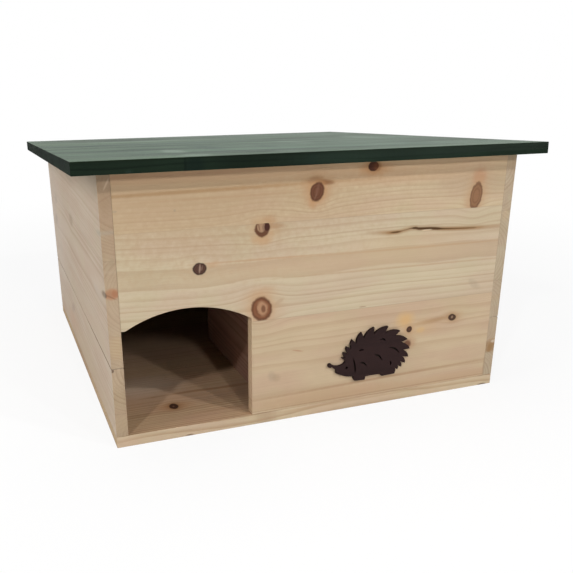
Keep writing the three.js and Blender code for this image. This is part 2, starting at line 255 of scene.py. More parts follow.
PINE = Tone(
    pale=(0.53, 0.425, 0.285), late=(0.345, 0.22, 0.12), pink=(0.505, 0.38, 0.263),
    yellow=(0.5, 0.405, 0.265), end=(1.33, 1.28, 1.24), specular=0.15,
)
SIDE = Tone(
    pale=(0.475, 0.385, 0.295), late=(0.33, 0.235, 0.155), pink=(0.45, 0.345, 0.26),
    yellow=(0.455, 0.37, 0.27), end=(0.8, 0.73, 0.625),
)
RIGHT_SIDE = SIDE._replace(end=(0.88, 0.87, 0.79))
# The dividing wall's pine, darker and redder: painted shade inside the house
INNER_SHADED = Tone(
    pale=(0.385, 0.228, 0.168), late=(0.2, 0.095, 0.058), pink=(0.36, 0.2, 0.15),
    yellow=(0.375, 0.232, 0.168), contrast=0.7,
)
FLOOR = PINE._replace(inside=(1.03, 0.88, 0.8), contrast=0.85, end=(0.93, 0.87, 0.8))


def stepped(net, across, staves, values):
    """The value that holds at a place across the staves, which have one each."""
    result = values[0]
    for stave, before, after in zip(staves, values, values[1:]):
        if after != before:
            step = net.math("GREATER_THAN", across, stave.top)
            result = net.linear(step, after - before, result)
    return result


def flowed(net, along, across, swirls):
    """Across, pushed out round each swirl so that grain lines flow round it."""
    result = across
    for swirl in swirls:
        length, height = SWIRL_LENGTH * swirl.half_length, SWIRL_HEIGHT * swirl.half_height
        u = net.linear(along, 1 / length, -swirl.along / length)
        v = net.linear(across, 1 / height, -swirl.across / height)
        square = net.linear(v, v, net.times(u, u))
        weight = net.math("EXPONENT", net.times(square, -1.0))
        offset = net.math("SUBTRACT", across, swirl.across)
        push = net.times(offset, net.times(weight, -swirl.strength))
        result = net.math("ADD", result, push)
    return result


SPOT_NUMBERS = "Ragged", "Soft", "Amount", "Inner", "Low", "High"


def spot_group():
    """The nodes that paint one ellipse, shared by all spots."""
    group = bpy.data.node_groups.new("painted spot", "ShaderNodeTree")
    given_names = {
        "NodeSocketVector": ("Place", "Centre", "Across U", "Across V"),
        "NodeSocketColor": ("Colour", "Tint"),
        "NodeSocketFloat": ("Edge", "Only", *SPOT_NUMBERS),
    }
    for kind, names in given_names.items():
        for name in names:
            group.interface.new_socket(name, in_out="INPUT", socket_type=kind)
    group.interface.new_socket("Colour", in_out="OUTPUT", socket_type="NodeSocketColor")
    net = Net(group)
    given = net.add("NodeGroupInput").outputs
    offset = net.vector("SUBTRACT", given["Place"], given["Centre"])
    u = net.vector("DOT_PRODUCT", offset, given["Across U"])
    v = net.vector("DOT_PRODUCT", offset, given["Across V"])
    distance = net.vector("LENGTH", net.combine(u, v))
    distance = net.linear(given["Edge"], given["Ragged"], distance)

    def around(radius):
        """The distances at which a soft edge at a radius begins and ends."""
        return net.math("SUBTRACT", radius, given["Soft"]), net.math("ADD", radius, given["Soft"])

    mask = net.ramp(distance, *around(1.0), given["Amount"], 0.0)
    mask = net.times(mask, net.ramp(distance, *around(given["Inner"])))
    across = net.add("ShaderNodeSeparateXYZ", given["Place"]).outputs["Y"]
    above = net.math("GREATER_THAN", across, given["Low"])
    below = net.math("LESS_THAN", across, given["High"])
    for part in (above, below, given["Only"]):
        mask = net.times(mask, part)
    net.add("NodeGroupOutput", net.mix(mask, given["Colour"], given["Tint"]))
    return group


SPOT_GROUP = spot_group()


def painted(net, look, colour, ways, spots, only=1.0):
    """Colour with the spots laid on in turn, in the two ways named, and only where a mask lets them."""
    flat = net.combine(*(getattr(look, way) for way in ways.split()))
    for spot in spots:
        cos, sin = math.cos(math.radians(spot.turn)), math.sin(math.radians(spot.turn))
        node = net.add("ShaderNodeGroup", node_tree=SPOT_GROUP)
        given = {
            "Place": flat, "Centre": (spot.along, spot.across, 0), "Edge": look.edge, "Only": only,
            "Colour": colour, "Tint": [value / 1000 for value in spot.tint],
            "Across U": (cos / spot.half_length, sin / spot.half_length, 0),
            "Across V": (-sin / spot.half_height, cos / spot.half_height, 0),
            **{name: getattr(spot, name.lower()) for name in SPOT_NUMBERS},
        }
        for name, value in given.items():
            net.put(node.inputs[name], value)
        colour = node.outputs[0]
    return colour


# Sockets of a board's look and of its places. Its masks mark its near end and its low edge
Measured = namedtuple("Measured", "colour roughness height along across through edge near_end low_edge")
# Sockets of a place on a board: its millimetres, those across as the grain flows, and its stave's number
Place = namedtuple("Place", "along across through flow number")


def grain_place(net, at, size, shift=0.0):
    """A place for noise with the given length along the grain and width across it."""
    length, width = size
    y, z = (net.times(socket, 1 / width) for socket in (at.flow, at.through))
    return net.combine(net.linear(at.along, 1 / length, shift), y, z)


def late_wood(net, at, staves, sway):
    """How much dark late wood there is at a place, from the rings round the heart of its stave."""
    def of_stave(name):
        return stepped(net, at.across, staves, [getattr(stave, name) for stave in staves])

    swaying = net.combine(net.times(at.along, 1 / SWAY_LENGTH), at.number, 0.0)
    y = net.math("SUBTRACT", at.flow, of_stave("pith_across"))
    y = net.math("ADD", y, net.swing(swaying, sway, detail=1))
    z = net.math("SUBTRACT", at.through, of_stave("pith_through"))
    radius = net.math("SQRT", net.linear(y, y, net.times(z, z)))
    radius = net.math("ADD", radius, net.swing(grain_place(net, at, WARP, at.number), 0.45, detail=3))
    change = net.combine(net.linear(radius, 1 / RING_CHANGE, at.number))
    phase = net.math("DIVIDE", radius, of_stave("spacing"))
    phase = net.math("ADD", phase, net.swing(change, 0.8, detail=1))
    part = net.math("FRACT", phase)
    ring = net.add("ShaderNodeTexWhiteNoise", noise_dimensions="1D")
    net.put(ring.inputs["W"], net.math("ADD", net.math("FLOOR", phase), at.number))
    strength = net.ramp(ring.outputs["Value"], 0.0, 1.0, 0.25, 1.0, smooth=False)
    strength = net.times(strength, of_stave("grain"))
    rise = net.math("POWER", net.ramp(part, 0.2, 0.9), 1.7)
    fall = net.ramp(part, 0.92, 1.0, 1.0, 0.0)
    return net.times(net.times(rise, fall), strength)


def long_faces(net, at, staves, tone, late):
    """The colour of the long faces: pale wood with blotches, late wood, the tint of each stave and painted shade
    on the inner faces.
    """
    blotch = net.noise(grain_place(net, at, BLOTCH, at.number), detail=2)
    length, width = CLOUD
    x = net.linear(at.along, 1 / length, 9.1)
    y = net.linear(at.flow, 1 / width, at.number)
    cloud = net.noise(net.combine(x, y, net.times(at.through, 1 / width)), detail=2)
    colour = net.mix(net.ramp(blotch, 0.35, 0.6), tone.pale, tone.pink)
    colour = net.mix(net.ramp(cloud, 0.45, 0.7, 0.0, 0.8), colour, tone.yellow)
    colour = net.mix(net.times(late, tone.contrast), colour, tone.late)
    tint = staves[0].tint
    for stave, after in zip(staves, staves[1:]):
        tint = net.mix(net.math("GREATER_THAN", at.across, stave.top), tint, after.tint)
    colour = net.vector("MULTIPLY", colour, tint)
    # painted shade on the inner faces, inside the house
    inner_face = net.math("GREATER_THAN", at.through, INNER_FACE)
    return net.mix(inner_face, colour, net.vector("MULTIPLY", colour, tone.inside))


def sawn_end(net, at, tone, late, colour):
    """The colour of the sawn ends, with their pores, from that of the long faces."""
    length, width = PORE
    pores = net.combine(*(net.times(socket, 1 / size) for socket, size in (
        (at.across, width), (at.through, width), (at.along, length),
    )))
    pore = net.noise(pores, detail=3, roughness=0.7)
    colour = net.vector("MULTIPLY", colour, tone.end)
    colour = net.scale(colour, net.ramp(pore, 0.3, 0.7, 0.82, 1.12, smooth=False))
    return net.mix(net.times(late, tone.end_rings), colour, tuple(0.6 * v for v in tone.late))


def wood_net(net, board, staves, swirls, tone, seed):
    """The nodes that all wood has, from its rings and fibres to the fine lines between its staves."""
    offset = net.vector("SUBTRACT", net.place(), board.corner)
    along, across, through = (net.vector("DOT_PRODUCT", offset, tuple(axis / MM)) for axis in board[1:])
    staves = [Stave(*stave) for stave in staves]
    number = stepped(net, across, staves, [seed + NUMBER_STEP * i for i in range(len(staves))])
    at = Place(along, across, through, flowed(net, along, across, swirls), number)
    late = late_wood(net, at, staves, tone.sway)
    streak = net.swing(grain_place(net, at, STREAK, number), 1.0, detail=4, roughness=0.65)
    fibre = net.swing(grain_place(net, at, FIBRE), 1.0, detail=2)

    colour = long_faces(net, at, staves, tone, late)
    light = net.linear(streak, 0.055, 1.0)
    colour = net.scale(colour, net.linear(fibre, 0.04, light))
    facing = net.vector("DOT_PRODUCT", net.normal(), tuple(board.along))
    rising = net.vector("DOT_PRODUCT", net.normal(), tuple(board.across))
    low_turn, high_turn = TURNED
    end = net.ramp(net.math("ABSOLUTE", facing), low_turn, high_turn)
    near_end, low_edge = (net.ramp(socket, -high_turn, -low_turn, 1.0, 0.0) for socket in (facing, rising))
    colour = net.mix(end, colour, sawn_end(net, at, tone, late, colour))

    ragged = (net.times(socket, 1 / RAGGED_LENGTH) for socket in (along, across))
    edge = net.swing(net.combine(*ragged, number), 1.0, detail=2)
    height = net.linear(late, 0.7, net.times(streak, 0.35))
    height = net.linear(fibre, 0.3, height)
    roughness = net.linear(streak, 0.04, tone.roughness)
    for stave in staves[:-1]:
        line = net.ramp(net.gap(across, stave.top), 0.12, 0.5, 0.17, 0.0)
        colour = net.scale(colour, net.math("SUBTRACT", 1.0, line))
        height = net.math("SUBTRACT", height, line)
    return Measured(colour, roughness, height, along, across, through, edge, near_end, low_edge)


def wood(
    name, board, staves, spots, tone=PINE, seed=0.0, swirls=None, extra=None,
    end_spots=(), edge_spots=(), face_spots=(),
):
    """Bare wood. Its grain flows round the knots among its spots, if no swirls are given. End spots lie
    through and across its near end, edge spots along and through its low edge, face spots on one face."""
    material = bpy.data.materials.new(name)
    net = Net(material)
    look = wood_net(net, board, staves, swirls_of(spots) if swirls is None else swirls, tone, seed)
    colour = painted(net, look, look.colour, "along across", spots)
    near_face = net.math("LESS_THAN", look.through, NEAR_FACE)
    colour = painted(net, look, colour, "along across", face_spots, near_face)
    colour = painted(net, look, colour, "through across", end_spots, look.near_end)
    colour = painted(net, look, colour, "along through", edge_spots, look.low_edge)
    height = look.height
    if extra:
        colour, height = extra(net, colour, height, look.along, look.across)
    surface(net, colour, look.roughness, height, 0.12 * MM, tone.specular)
    return material


def knot(
    along, across, half_length, half_height, fill, turn=0.0, rim=0.7, halo=None, core=None,
    low=-FAR, high=FAR,
):
    """The spots of one knot: a stained halo, its face with a darker rim and rings, and its heart."""
    cut = {"turn": turn, "low": low, "high": high, "ragged": 0.06}
    dark = tuple(0.32 * v for v in fill)
    rows = [
        (1, 1, fill, 0.95, KNOT_SOFT, -1), (1, 1, dark, rim, 0.13, 0.82), (0.6, 0.6, dark, 0.35, 0.2, 0.8),
    ]
    if halo:
        rows = [(1.9, 1.6, halo, 0.35, 0.6, -1), (1.3, 1.25, halo, 0.45, 0.3, -1), *rows]
    spots = [
        Spot(along, across, u * half_length, v * half_height, tint, amount, soft, inner=inner, **cut)
        for u, v, tint, amount, soft, inner in rows
    ]
    if core:
        u, v, radius, tint = core
        spots.append(Spot(along + u, across + v, radius, 1.2 * radius, tint, 0.85, 0.35, **cut))
    return spots


FRONT_BOARD = Board((LEFT, FRONT, 0), X, Z, Y)
BACK_BOARD = Board((LEFT, BACK, 0), X, Z, -Y)
LEFT_BOARD = Board((LEFT, FRONT, 0), Y, Z, X)
RIGHT_BOARD = Board((RIGHT, FRONT, 0), Y, Z, -X)
FLOOR_BOARD = Board((LEFT, FRONT, 0), X, Y, Z)
DIVIDER_BOARD = Board((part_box("dividing_wall")[0].x, FRONT, 0), Y, Z, X)

BROWN = (220, 115, 60)
ORANGE = (450, 250, 120)
RESIN = (570, 360, 150)
GREY = (270, 225, 160)

front_staves = [
    Stave(116.5, 48, 62, 5.0, (0.93, 0.895, 0.88), grain=0.6),
    Stave(216.0, 170, 34, 4.2, (0.955, 0.995, 1.02), grain=0.85),
    Stave(300.0, 330, 40, 4.4, (0.96, 0.95, 0.925), grain=1.1),
]
front_swirls = [
    Swirl(91, 177, 7, 6), Swirl(155, 129, 10, 12, 0.75), Swirl(155, 211, 8, 8, 0.55),
    Swirl(212.5, 243.5, 7.5, 9), Swirl(402, 229, 7.5, 12, 0.6), Swirl(385, 92, 6, 5, 0.7),
    Swirl(274.5, 265, 6, 5, 0.6), Swirl(330.5, 84.5, 4, 4, 0.6),
]
front_spots = [
    # bands and level lines of the three staves, and painted shade under the roof
    # the wood's darker top-left band, partly painted shade under the roof
    Spot(60, 270, 190, 75, (385, 265, 155), 0.72, 0.8, ragged=0.3),
    # painted shade along the top edge, under the roof
    Spot(150, 262, 260, 10, (400, 255, 140), 0.3),
    Spot(70, 268, 100, 2.2, (300, 145, 75), 0.5, 0.8, turn=0.4),
    Spot(90, 251, 140, 1.7, (300, 180, 85), 0.7, 0.8, turn=0.6),
    Spot(125, 244, 90, 1.2, (370, 235, 130), 0.5, 0.7, turn=0.5),
    # painted shade under the roof: a warm tint on the shadow along the top edge, a darker band at the left and a
    # lower band on the right
    Spot(290, 270, 270, 9, (600, 385, 230), 0.6, 0.85, ragged=0.05),
    Spot(20, 269, 120, 6, (440, 260, 155), 0.5, 0.8, ragged=0.05),
    Spot(330, 254, 160, 7, (450, 270, 140), 0.3, 0.7),
    Spot(425, 243, 75, 13, (370, 270, 170), 0.55, 0.85),
    Spot(322, 186, 60, 9, (460, 320, 190), 0.35, 0.85),
    Spot(430, 203, 70, 14, (420, 310, 200), 0.3, 0.85),
    Spot(170, 180.5, 75, 0.9, (400, 245, 130), 0.6, 0.7, turn=-0.8),
    Spot(340, 177.5, 110, 0.9, (400, 250, 130), 0.55, 0.7, turn=-0.4),
    Spot(260, 170, 150, 10, (500, 350, 220), 0.35, 0.7),
    Spot(330, 157.5, 140, 0.9, (380, 250, 140), 0.5, 0.7, turn=-0.6),
    Spot(225, 21, 85, 7.5, (420, 260, 150), 0.4, 0.45),
    Spot(400, 17, 120, 6, (460, 310, 185), 0.35),
    Spot(290, 30.5, 160, 1.3, (330, 200, 110), 0.55, 0.7, turn=1.1),
    Spot(300, 14.5, 170, 0.9, (300, 180, 100), 0.5, 0.5),
    Spot(195, 78, 6, 0.7, (360, 170, 100), 0.6, 0.5, turn=-14),
    Spot(166, 53, 4, 5, GREY, 0.3, turn=20),
    Spot(171.5, 50.5, 4, 4, (300, 220, 130), 0.3),
    Spot(411, 129, 8.5, 4, GREY, 0.25, 0.5, turn=-38),
    Spot(270, 118, 4, 0.6, BROWN, 0.5, 0.4),
    Spot(69, 234.5, 1.1, 1.1, GREY, 0.5, 0.4),
    Spot(14, 237, 2.0, 1.0, GREY, 0.4, 0.4),
    # knots and their stains
    Spot(80, 182, 6, 8, (400, 270, 165), 0.35, 0.3, turn=-35, inner=0.85),
    Spot(105, 180, 7, 3, ORANGE, 0.3),
    *knot(91, 177, 6.8, 5.8, (55, 20, 14), rim=0.85),
    Spot(91.2, 177.2, 0.9, 4.2, (320, 210, 155), 0.7, 0.5, turn=-6),
    Spot(93.4, 177.4, 0.7, 2.4, (220, 130, 90), 0.5, 0.5, turn=-10),
    Spot(153, 145, 14, 6, ORANGE, 0.3, 0.7, turn=8),
    *knot(154.6, 129, 10.8, 12.6, (180, 66, 30), turn=14, halo=(440, 260, 140), low=116.5),
    Spot(155.5, 129.5, 5.4, 7.6, (380, 215, 120), 0.85, 0.3, turn=14, low=116.5),
    Spot(156.5, 129, 2.4, 4.0, (135, 55, 28), 0.85, 0.4, turn=8),
    Spot(174, 135, 5, 2, (360, 240, 150), 0.35, 0.5, turn=30),
    Spot(155, 200, 10, 5, ORANGE, 0.4),
    Spot(157, 210, 13, 12, (440, 260, 120), 0.4),
    Spot(163, 219.5, 6, 4, (360, 200, 100), 0.4),
    Spot(168, 213, 10, 3, (300, 160, 80), high=216),
    Spot(155.2, 211, 7.8, 8.0, (88, 30, 14), 0.94, 0.14, high=216.3, ragged=0.06),
    Spot(154.2, 213.2, 4.2, 5.2, (330, 205, 120), 0.9, 0.2, high=216.3, ragged=0.08),
    Spot(157, 212.5, 1.6, 3.5, (150, 80, 50), 0.6, 0.4, high=216.3),
    Spot(152, 213, 0.7, 4, (130, 60, 35), 0.6, 0.4, turn=12, high=216.3),
    Spot(160.3, 212.8, 2.8, 4.2, (45, 14, 9), 0.96, 0.2, high=216.3, ragged=0.06),
    Spot(212, 250, 17, 14, (380, 220, 110), 0.35, 0.7),
    Spot(221, 252.4, 9, 2.5, (150, 60, 22), 0.85, turn=-6),
    Spot(210, 255.5, 8, 3, (220, 110, 50), 0.6, turn=8),
    Spot(208, 232, 4, 5, (400, 215, 100)),
    *knot(213, 243.5, 7.3, 9.2, (110, 38, 19), turn=-18, rim=0.55, halo=(400, 210, 95)),
    Spot(213.5, 246, 1.4, 6, (190, 95, 65), 0.35, turn=-14),
    Spot(211.5, 239, 0.8, 3.5, (210, 120, 85), 0.3, turn=-24),
    Spot(276, 263, 17, 7, (420, 210, 85)),
    *knot(274.5, 265.5, 5.6, 5, (52, 12, 6), halo=(350, 170, 70)),
    Spot(279, 265, 4, 4, (160, 55, 20)),
    Spot(404, 249, 8, 9, (400, 200, 110), 0.6),
    Spot(396, 221, 9, 10, (420, 250, 160), 0.3, low=215.8),
    *knot(402, 228.5, 7.4, 14.2, (225, 112, 57), turn=-8, rim=0.5, halo=(420, 250, 130), low=215.6),
    Spot(402, 228.5, 7.4, 14.2, (75, 40, 30), 0.5, 0.06, turn=-8, inner=0.94, low=215.6),
    Spot(364, 91.6, 21, 2.6, (300, 175, 85), 0.7, 0.7, turn=5),
    Spot(387, 93, 13, 7, (420, 270, 150), 0.4),
    *knot(
        386, 92, 5.0, 3.8, (50, 24, 16), turn=-14, halo=(330, 190, 95),
        core=(0, 0.3, 1.3, (260, 160, 100)),
    ),
    Spot(324, 97, 11, 8.6, RESIN, 0.5, 0.5),
    Spot(325, 96, 6, 5, (580, 335, 125), 0.4),
    Spot(345, 82, 5, 3, RESIN, 0.5, 0.5),
    Spot(341, 85, 24, 9, (530, 350, 180), 0.35, 0.85),
    *knot(
        330.5, 84.5, 3.5, 3.5, (50, 20, 12), halo=(420, 240, 130),
        core=(0.4, -0.2, 0.7, (110, 50, 30)),
    ),
    Spot(331, 68, 8, 7, (400, 220, 120)),
    Spot(329.5, 67.5, 4.6, 4.6, (130, 50, 26), 0.85, 0.4),
    Spot(437.6, 25, 0.9, 15, (300, 210, 130), 0.55),
    Spot(434.5, 12.2, 4.5, 0.8, (200, 130, 80), 0.6, 0.5),
]

# Painted shade on the front panel under the figure, seen through its slits as their dark insides
SLIT_SHADE = (12, 8, 7)
figure_slit_shade = [
    Spot(293, 60, 31, 21, SLIT_SHADE, 0.97, 0.12, ragged=0.02),
    Spot(255, 50, 8, 5.5, SLIT_SHADE, 0.97, 0.2, ragged=0.02),
    Spot(263, 51, 4.5, 11, SLIT_SHADE, 0.97, 0.12, ragged=0.02),
]


def float_curve(net, value, points):
    """A curve through points, read at a value between 0 and 1."""
    node = net.add("ShaderNodeFloatCurve")
    curve = node.mapping.curves[0]
    curve.points[0].location, curve.points[1].location = points[0], points[-1]
    for x, y in points[1:-1]:
        curve.points.new(x, y)
    node.mapping.update()
    net.put(node.inputs["Value"], value)
    return node.outputs[0]


def pitch_crack(net, colour, height, along, across):
    """A shallow pitch pocket: a dark brown line with a bend, in a soft brown band."""
    start, length, low, tall = 262.0, 180.0, 190.0, 10.0
    share = net.linear(along, 1 / length, -start / length)

    def curve(*points):
        """A value from 0 to 1 along the pocket, from points of millimetres along the board and values."""
        return float_curve(net, share, [((x - start) / length, value) for x, value in points])

    places = [
        (262, 198), (283, 197.2), (303, 196.1), (317, 197.8), (327, 198.9), (333, 197.9), (348, 197),
        (365, 195.4), (383, 194.4), (404, 193.6), (442, 193.1),
    ]
    line = net.linear(curve(*((x, (z - low) / tall) for x, z in places)), tall, low)
    gap = net.gap(across, line)
    width = curve(
        (262, 0), (294, 0.05), (300, 0.4), (306, 0.55), (314, 0.3), (324, 0.45), (331, 0.9), (352, 0.95),
        (362, 0.55), (384, 0.4), (402, 0.35), (410, 0.05), (442, 0),
    )
    stain = curve(
        (262, 0), (275, 0.2), (292, 0.6), (304, 0.9), (318, 0.6), (345, 0.75), (380, 0.85), (405, 0.75),
        (420, 0.5), (436, 0.4), (442, 0.1),
    )
    inside = net.times(net.math("GREATER_THAN", share, 0.0), net.math("LESS_THAN", share, 1.0))
    band = net.times(stain, net.ramp(gap, 0.3, 4.0, 1.0, 0.0))
    colour = net.mix(net.times(band, inside), colour, (0.26, 0.13, 0.045))
    inner = net.math("DIVIDE", gap, net.linear(width, 1.35, 0.08))
    dark = net.times(net.ramp(inner, 0.4, 1.6, 1.0, 0.0), net.ramp(width, 0.02, 0.6, smooth=False))
    dark = net.times(dark, inside)
    colour = net.mix(net.times(dark, 0.95), colour, (0.05, 0.022, 0.006))
    return colour, net.linear(dark, -2.0, height)


def front_extra(net, colour, height, along, across):
    """The pitch pocket, with a pale sliver of sound wood below its widest part."""
    middle, level = 343, 195.7
    colour, height = pitch_crack(net, colour, height, along, across)
    aside = net.ramp(net.gap(along, middle), 3, 8, 0.7, 0.0)
    apart = net.ramp(net.gap(across, level), 0.2, 0.9, 1.0, 0.0)
    return net.mix(net.times(aside, apart), colour, (0.66, 0.52, 0.36)), height


# Height of the joint between the boards of a side wall, in millimetres
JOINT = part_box("lower_left_board")[1].z / MM


def lower(spots):
    """The spots that reach onto the lower board of a side wall."""
    return [spot for spot in spots if spot.across - max(spot.half_length, spot.half_height) < JOINT]


def upper(spots):
    """The spots that reach onto its upper board."""
    return [spot for spot in spots if spot.across + max(spot.half_length, spot.half_height) > JOINT]


def swirls_of(spots):
    """A swirl round the face of each knot."""
    return [Swirl(*spot[:4], 0.7) for spot in spots if spot.soft == KNOT_SOFT]


def filler(side):
    """The filled holes over the brads of one side wall."""
    places = [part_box(name)[0].lerp(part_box(name)[1], 0.5) for name in nodes if name.startswith("brad_" + side)]
    return [Spot((p.y - FRONT) / MM, p.z / MM, 1.4, 1.4, (310, 235, 160), 0.7, 0.3) for p in places]


left_spots = [
    *filler("left"),
    Spot(200, 26, 190, 22, (445, 340, 225), 0.45, 0.8),
    # painted shade along the top of the wall, under the roof
    Spot(200, 262, 330, 24, (395, 305, 215), 0.5, 0.8),
    Spot(100, 182, 125, 1.7, (380, 290, 200), 0.5, 0.7),
    Spot(85, 190.5, 100, 1.2, (390, 310, 220), 0.4, 0.7),
    Spot(232, 187, 15, 6.5, (300, 230, 155), 0.6, 0.5, turn=-3),
    Spot(400, 184, 17, 5.5, (290, 210, 150), 0.6, turn=-8),
    Spot(380, 171, 34, 8, (500, 385, 240), 0.35, 0.7, turn=-10),
    Spot(420, 153, 17, 6.5, (260, 185, 130), 0.7, 0.5, turn=-12),
    Spot(385, 120, 14, 9, (360, 310, 220), 0.4, turn=-30),
    Spot(303, 55, 20, 6, (310, 235, 185), turn=-22),
    Spot(315, 35, 50, 12, (470, 300, 215), 0.45, 0.7, turn=-6),
    Spot(430, 22, 25, 8, (420, 270, 190), 0.4),
    Spot(12, 217, 14, 2.6, (330, 300, 235), turn=-6),
    Spot(6, 159.5, 15, 3, (170, 110, 70), 0.75, 0.5, turn=-10),
    Spot(215, 238, 32, 3, (300, 250, 180), 0.4),
    Spot(45, 150, 24, 6, (460, 400, 330), 0.4, 0.7),
    Spot(450, 140, 110, 100, (580, 500, 430), 0.45, 0.8),
]
# Spots on the front ends of the side walls, counted through the wall from its outer face and up
left_end_spots = [
    Spot(6, 258, 9, 23, (280, 185, 110), 0.72, 0.5),
    Spot(6, 249, 7.5, 0.9, (270, 170, 105), 0.55, turn=28),
    Spot(4, 264, 6, 1.1, (280, 180, 110), 0.4, turn=58),
    Spot(8.5, 262, 6, 0.8, (520, 380, 270), 0.5, 0.5, turn=62),
    Spot(8.2, 190.5, 2.4, 3.8, (290, 220, 135), 0.55, 0.45, turn=-20),
    Spot(4, 186, 1.6, 3, (330, 260, 170), 0.4, 0.5, turn=-30),
    Spot(6, 132, 9, 50, (560, 455, 330), 0.25, 0.8),
    Spot(6.3, 160.8, 6.6, 5.6, (370, 180, 93), 0.75, 0.3),
    Spot(8.5, 161, 2.5, 3.2, (330, 135, 65), 0.6, 0.5),
    Spot(4.5, 158.3, 5.6, 0.7, (240, 120, 65), 0.75, turn=-30),
    Spot(-0.3, 160, 1.4, 2.6, (100, 65, 45), 0.85, 0.4),
    Spot(7, 107, 7, 12, (500, 375, 210), 0.35),
    *[Spot(6, 96.5 + 3.1 * i, 7, 0.55, (370, 250, 145), 0.45, turn=-14) for i in range(8)],
    Spot(0.9, 84, 1.5, 1.9, (110, 70, 45), 0.9, 0.35),
    *[Spot(6.5, 62 + 2.7 * i, 5, 0.5, (380, 290, 190), 0.4, turn=10) for i in range(3)],
    Spot(6, 26, 8, 9.5, (400, 300, 190), 0.4, 0.4),
    *[Spot(7, 17 + 4.4 * i, 6, 0.6, (330, 240, 150), 0.4, turn=24) for i in range(4)],
]
right_end_spots = [
    Spot(6, 264, 8, 9, (430, 280, 155), 0.4, 0.5),
    Spot(7.6, 222, 1.2, 10, (350, 270, 190), 0.4, turn=12),
    Spot(6, 205, 4, 6, (460, 320, 190), 0.35),
    Spot(7, 166, 4, 5, (400, 330, 230), 0.35),
    Spot(8.5, 128, 1.2, 10, (350, 250, 170), 0.35, turn=8),
    Spot(6, 109, 8, 3, (370, 260, 165), 0.4, 0.5),
    Spot(2.8, 54.6, 2.8, 1.7, (600, 510, 400), 0.6, 0.4),
    Spot(4.6, 57.6, 4.2, 0.75, (340, 215, 115), 0.7, 0.5),
    Spot(7.9, 55, 0.9, 2.8, (340, 215, 115), 0.65, 0.5),
    Spot(6.4, 47.5, 3.2, 5.6, (265, 150, 65), 0.85, 0.35, turn=12),
    Spot(3, 50.8, 3.6, 1.5, (280, 165, 75), 0.8, 0.35),
    Spot(11.9, 26, 0.9, 15, (300, 220, 140), 0.6),
]
right_spots = [
    *filler("right"),
    Spot(0, 49, 5, 7, (265, 150, 65), 0.7, 0.4),
    *knot(
        148, 62, 9, 7.5, (200, 100, 60), turn=8, halo=(380, 260, 160),
        core=(1, 0.5, 2, (100, 50, 35)),
    ),
    *knot(318, 151, 6, 5, (110, 55, 35), halo=(360, 230, 140)),
    *knot(236, 226, 8, 6.5, (230, 125, 75), turn=-10, halo=(380, 260, 160)),
    *knot(412, 38, 5, 4.5, (120, 60, 40), halo=(360, 230, 140)),
    Spot(70, 178, 60, 1.4, (380, 280, 190), 0.5, 0.7),
    Spot(360, 98, 70, 1.6, (380, 280, 190), 0.45, 0.7, turn=1),
]
back_spots = [
    *knot(
        96, 148, 8, 7, (190, 90, 50), turn=6, halo=(420, 260, 150),
        core=(1, 0, 2, (90, 45, 30)),
    ),
    *knot(304, 58, 7, 6, (100, 48, 32), halo=(400, 230, 120)),
    *knot(212, 208, 9, 8, (220, 110, 65), turn=-12, halo=(440, 280, 160), low=190),
    *knot(391, 221, 5, 4.5, (100, 50, 34), halo=(380, 210, 110)),
    *knot(40, 40, 5.5, 5, (170, 85, 50), halo=(420, 260, 150)),
    Spot(250, 121, 120, 1.2, (380, 235, 130), 0.5, 0.7, turn=0.8),
    Spot(330, 168, 11, 8, RESIN, 0.45, 0.4),
]
floor_spots = [
    Spot(58, 39, 46, 3.2, (400, 245, 135)),
    Spot(118, 25, 34, 0.9, (360, 210, 110), 0.6),
    Spot(110, 58, 40, 5, (440, 290, 190), 0.35, 0.7),
    Spot(70, 108, 50, 4, (400, 270, 170), 0.35, 0.7),
    Spot(90, 137, 60, 3, (380, 250, 160), 0.4, 0.7),
    # painted shade on the floor towards the back of the corridor
    Spot(75, 250, 110, 80, (310, 200, 140), 0.5, 0.7),
    # a painted pool of light on the corridor floor
    Spot(50, 112, 42, 24, (680, 550, 430), 0.45, 0.7),
    # painted shadow of the front panel on the floor beside the dividing wall
    Spot(160, 50, 14, 62, (310, 190, 120)),
    Spot(71, 50, 18, 9, (420, 210, 90), 0.6, 0.7),
    *knot(
        71, 49.5, 4.8, 6.5, (45, 17, 10), rim=0.6, halo=(260, 120, 50),
        core=(-0.4, 0, 1.1, (160, 80, 50)),
    ),
    *knot(290, 300, 8, 7, (180, 90, 50), halo=(420, 250, 140)),
    *knot(355, 120, 6, 6, (120, 60, 35), halo=(420, 250, 140)),
    *knot(118, 372, 7, 6, (210, 110, 60), halo=(420, 250, 140)),
]
# Spots along the floor panel's front edge, counted from the left and up
floor_edge_spots = [
    Spot(75, 0.6, 4, 1.4, (160, 100, 60), 0.8, 0.4),
    Spot(438, 0.6, 6, 1.2, (130, 80, 50), 0.8, 0.4),
    Spot(10, 6, 16, 6, (520, 360, 250), 0.4),
    Spot(260, 9, 120, 1.2, (400, 270, 150), 0.4),
]
divider_spots = [
    *knot(170, 96, 8, 7, (140, 65, 40), halo=(280, 140, 80)),
    *knot(66, 190, 6, 5, (100, 45, 30), halo=(280, 140, 80)),
    Spot(110, 142, 120, 1.2, (220, 110, 65), 0.5, 0.7),
    Spot(100, 62, 110, 1.6, (220, 110, 65), 0.5, 0.7, turn=1),
]

